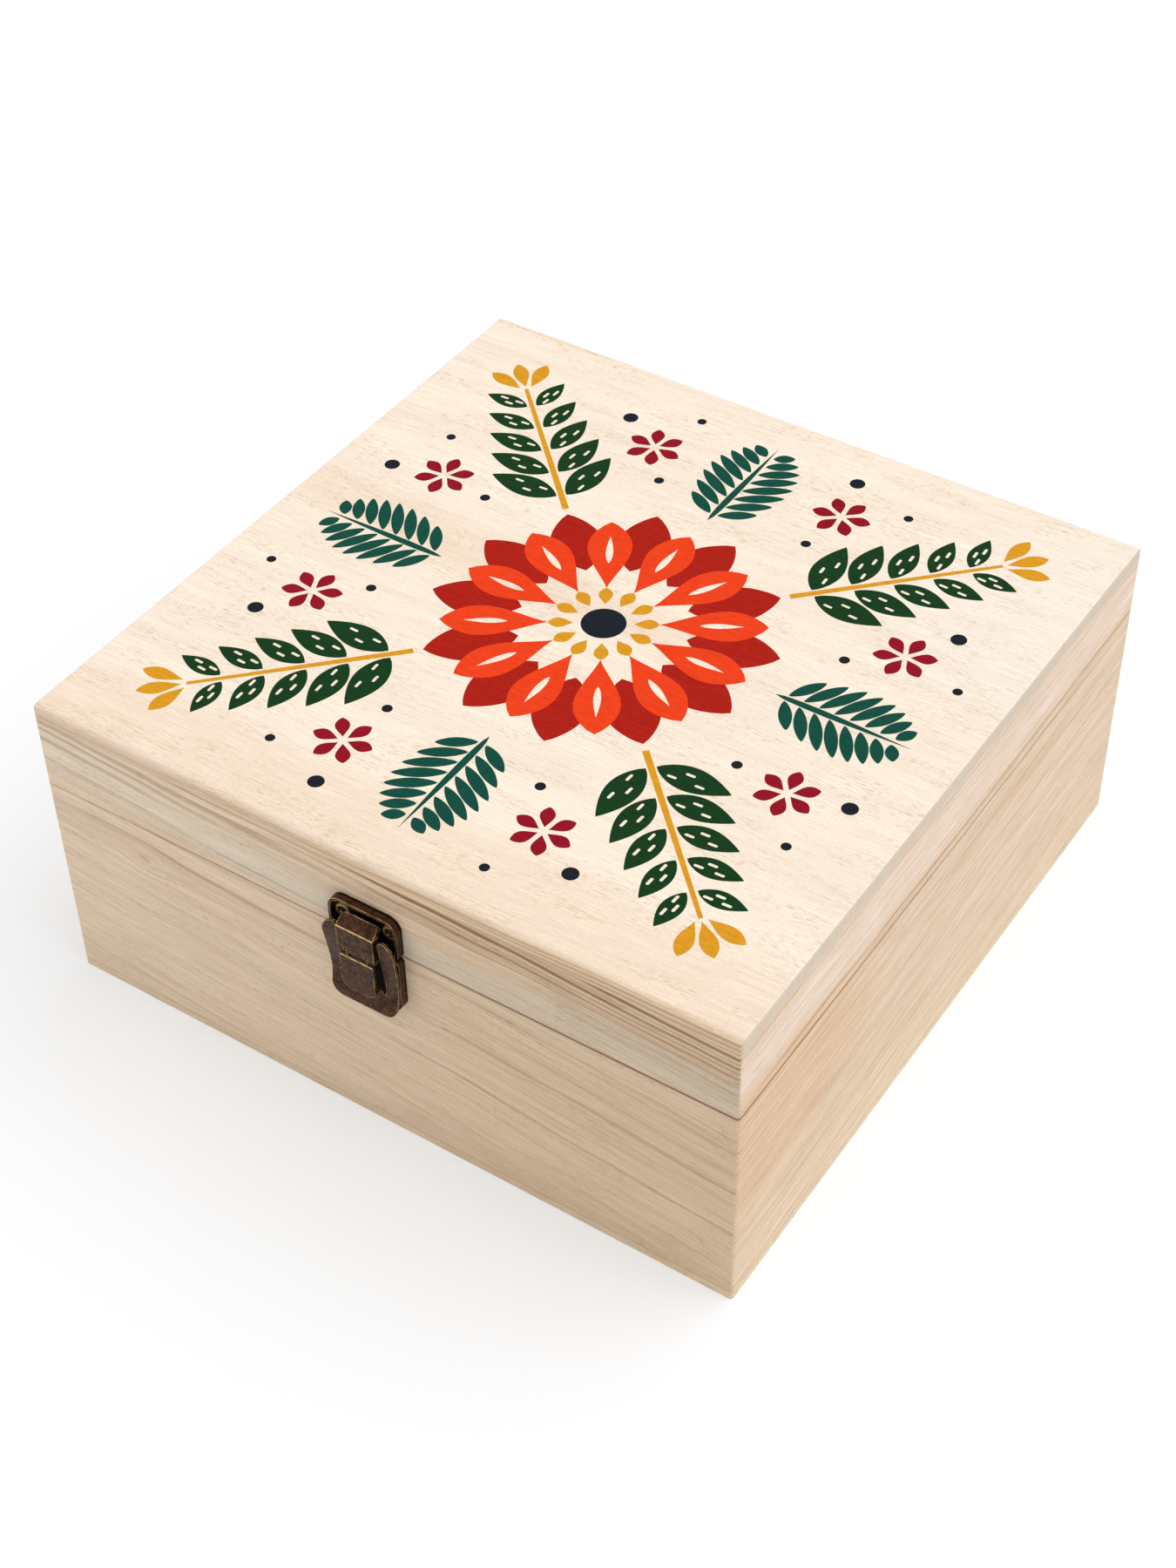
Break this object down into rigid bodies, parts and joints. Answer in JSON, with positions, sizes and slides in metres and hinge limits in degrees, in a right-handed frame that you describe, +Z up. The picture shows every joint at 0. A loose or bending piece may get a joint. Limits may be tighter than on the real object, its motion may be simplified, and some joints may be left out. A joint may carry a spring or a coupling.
{
  "type": "keepsake box",
  "caption": "Square pale wooden keepsake box with a rear-hinged lid, a coloured folk-style print on top and a small draw latch in front",
  "frame": {"origin": "middle of the underside, on the resting face", "axes": "+Z up; -Y is the front with the latch; +Y is the back with the hinges; +X is to the right seen from the front"},
  "size_m": [0.25, 0.261, 0.114],
  "materials": {
    "wall_wood": "bare planed pale wood, smooth sanded",
    "lid_wood": "bare planed pale wood, smooth sanded",
    "panel_wood": "bare thin wood panel",
    "antique_bronze": "dark antique bronze plating with worn edges",
    "pin_steel": "plain wire, darkened"
  },
  "bodies": {
    "box": {"bottom_panel": "panel_wood", "front_wall": "wall_wood", "back_wall": "wall_wood", "left_wall": "wall_wood", "right_wall": "wall_wood", "latch_base_plate": "antique_bronze", "latch_base_nails": "antique_bronze", "lever_rivets": "antique_bronze", "hinge_left_body_leaf": "antique_bronze", "hinge_left_pin": "pin_steel", "hinge_right_body_leaf": "antique_bronze", "hinge_right_pin": "pin_steel", "hinge_body_screws": "antique_bronze"},
    "lid": {"lid_front_rail": "wall_wood", "lid_back_rail": "wall_wood", "lid_left_rail": "wall_wood", "lid_right_rail": "wall_wood", "lid_board_front": "lid_wood", "lid_board_middle": "lid_wood", "lid_board_back": "lid_wood", "catch_plate": "antique_bronze", "catch_plate_nails": "antique_bronze", "hinge_left_lid_leaf": "antique_bronze", "hinge_right_lid_leaf": "antique_bronze", "hinge_lid_screws": "antique_bronze"},
    "lever": {"latch_lever": "antique_bronze", "link_pin": "pin_steel"},
    "link": {"hook_link": "antique_bronze"}
  },
  "joints": [
    {"name": "lid_hinge", "type": "hinge", "parent": "box", "child": "lid", "pos_m": [0, 0.127, 0.0822], "axis": [-1, 0, 0], "range_deg": [0, 180]},
    {"name": "lever_swing", "type": "hinge", "parent": "box", "child": "lever", "pos_m": [0, -0.12955, 0.088], "axis": [-1, 0, 0], "range_deg": [0, 90]},
    {"name": "link_swing", "type": "hinge", "parent": "lever", "child": "link", "pos_m": [0, -0.1307, 0.0818], "axis": [-1, 0, 0], "range_deg": [-90, 0]}
  ],
  "couplings": [
    {"joint": "link_swing", "follows": "lever_swing", "ratio": -1}
  ]
}
